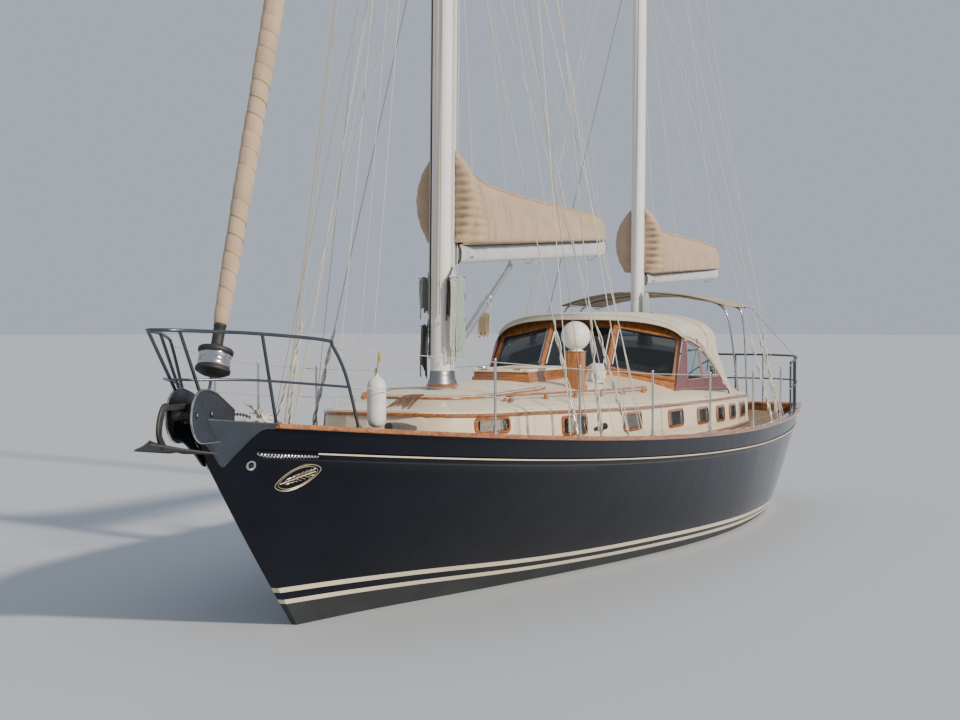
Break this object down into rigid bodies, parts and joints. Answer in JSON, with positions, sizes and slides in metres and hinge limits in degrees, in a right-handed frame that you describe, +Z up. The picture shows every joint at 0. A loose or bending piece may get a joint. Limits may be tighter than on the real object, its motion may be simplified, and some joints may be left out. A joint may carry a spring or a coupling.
{
  "type": "sailing yacht, two-masted motor-sailer ketch",
  "caption": "Ketch-rigged cruising yacht afloat with a full hull and keel, coachroof, doghouse shelter, covered booms, furled headsail and aft canopy.",
  "frame": {"origin": "on the waterline, amidships, on the boat's centre plane", "axes": "+X towards the bow, +Y to port, +Z up"},
  "size_m": [17.1545, 4.4488, 19.42],
  "materials": {
    "navy_topsides": "high gloss",
    "varnished_wood": "gloss varnish",
    "cream_paint": "semi gloss",
    "stainless_steel": "polished",
    "dark_galvanised_steel": "satin",
    "furler_alloy": "satin",
    "white_vinyl": "semi gloss",
    "white_spars": "semi gloss",
    "tan_canvas": "matt woven",
    "clear_glazing": "gloss",
    "cream_canvas": "matt woven",
    "burgundy_canvas": "matt woven",
    "antifouling_paint": "matt",
    "bronze": "satin"
  },
  "bodies": {
    "boat": {"hull": "navy_topsides", "cap_rail_port": "varnished_wood", "cap_rail_starboard": "varnished_wood", "cap_rail_stern": "varnished_wood", "windscreen_frame": "varnished_wood", "skylight_box": "varnished_wood", "vent_post": "varnished_wood", "handrail_port": "varnished_wood", "handrail_starboard": "varnished_wood", "coachroof": "cream_paint", "bow_fitting": "stainless_steel", "pulpit": "stainless_steel", "lifelines_port": "stainless_steel", "lifelines_starboard": "stainless_steel", "pushpit": "stainless_steel", "main_shrouds_port": "stainless_steel", "main_shrouds_starboard": "stainless_steel", "mizzen_shrouds_port": "stainless_steel", "mizzen_shrouds_starboard": "stainless_steel", "triatic_stay": "stainless_steel", "winch_1": "stainless_steel", "winch_2": "stainless_steel", "winch_3": "stainless_steel", "winch_4": "stainless_steel", "canopy_frame": "stainless_steel", "anchor": "dark_galvanised_steel", "windlass": "white_vinyl", "cowl_vent": "white_vinyl", "fender": "white_vinyl", "main_mast": "white_spars", "mizzen_mast": "white_spars", "helm_pedestal": "white_spars", "main_cover_collar": "tan_canvas", "mizzen_cover_collar": "tan_canvas", "canopy_top": "tan_canvas", "windscreen_glass_starboard": "clear_glazing", "windscreen_glass_middle": "clear_glazing", "windscreen_glass_port": "clear_glazing", "shelter_window_port": "clear_glazing", "shelter_window_starboard": "clear_glazing", "shelter_top": "cream_canvas", "shelter_side_port": "burgundy_canvas", "shelter_side_starboard": "burgundy_canvas"},
    "main_boom": {"main_boom": "white_spars", "main_sail_cover": "tan_canvas", "main_vang": "stainless_steel"},
    "mizzen_boom": {"mizzen_boom": "white_spars", "mizzen_sail_cover": "tan_canvas"},
    "furler": {"furler_drum": "furler_alloy", "furled_sail": "tan_canvas"},
    "rudder": {"rudder": "antifouling_paint"},
    "wheel": {"steering_wheel": "stainless_steel"},
    "propeller": {"propeller": "bronze"},
    "skylight_lid": {"skylight_lid": "cream_paint"},
    "cabin_door_port": {"cabin_door_port": "varnished_wood"},
    "cabin_door_starboard": {"cabin_door_starboard": "varnished_wood"}
  },
  "joints": [
    {"name": "main_boom_swing", "type": "hinge", "parent": "boat", "child": "main_boom", "pos_m": [2.6042, 0, 3.39], "axis": [0, 0, 1], "range_deg": [-65, 65]},
    {"name": "mizzen_boom_swing", "type": "hinge", "parent": "boat", "child": "mizzen_boom", "pos_m": [-4.3245, 0, 3.19], "axis": [0, 0, 1], "range_deg": [-60, 60]},
    {"name": "furler_turn", "type": "hinge", "parent": "boat", "child": "furler", "pos_m": [7.86, 0, 2.07], "axis": [-0.3331, 0, 0.9429], "continuous": true},
    {"name": "rudder_turn", "type": "hinge", "parent": "boat", "child": "rudder", "pos_m": [-5.26, 0, 0], "axis": [0, 0, 1], "range_deg": [-35, 35]},
    {"name": "wheel_turn", "type": "hinge", "parent": "boat", "child": "wheel", "pos_m": [-3.03, 0, 1.56], "axis": [1, 0, 0], "range_deg": [-540, 540]},
    {"name": "propeller_turn", "type": "hinge", "parent": "boat", "child": "propeller", "pos_m": [-4.99, 0, -0.86], "axis": [1, 0, 0], "continuous": true},
    {"name": "skylight_lid_open", "type": "hinge", "parent": "boat", "child": "skylight_lid", "pos_m": [1.135, 0, 2.0906], "axis": [0, 1, 0], "range_deg": [0, 45]},
    {"name": "cabin_door_port_open", "type": "hinge", "parent": "boat", "child": "cabin_door_port", "pos_m": [-2.3466, 0.27, 1.43], "axis": [0, 0, -1], "range_deg": [0, 100]},
    {"name": "cabin_door_starboard_open", "type": "hinge", "parent": "boat", "child": "cabin_door_starboard", "pos_m": [-2.3466, -0.27, 1.43], "axis": [0, 0, 1], "range_deg": [0, 100]}
  ],
  "couplings": [
    {"joint": "wheel_turn", "follows": "rudder_turn", "ratio": 15}
  ]
}
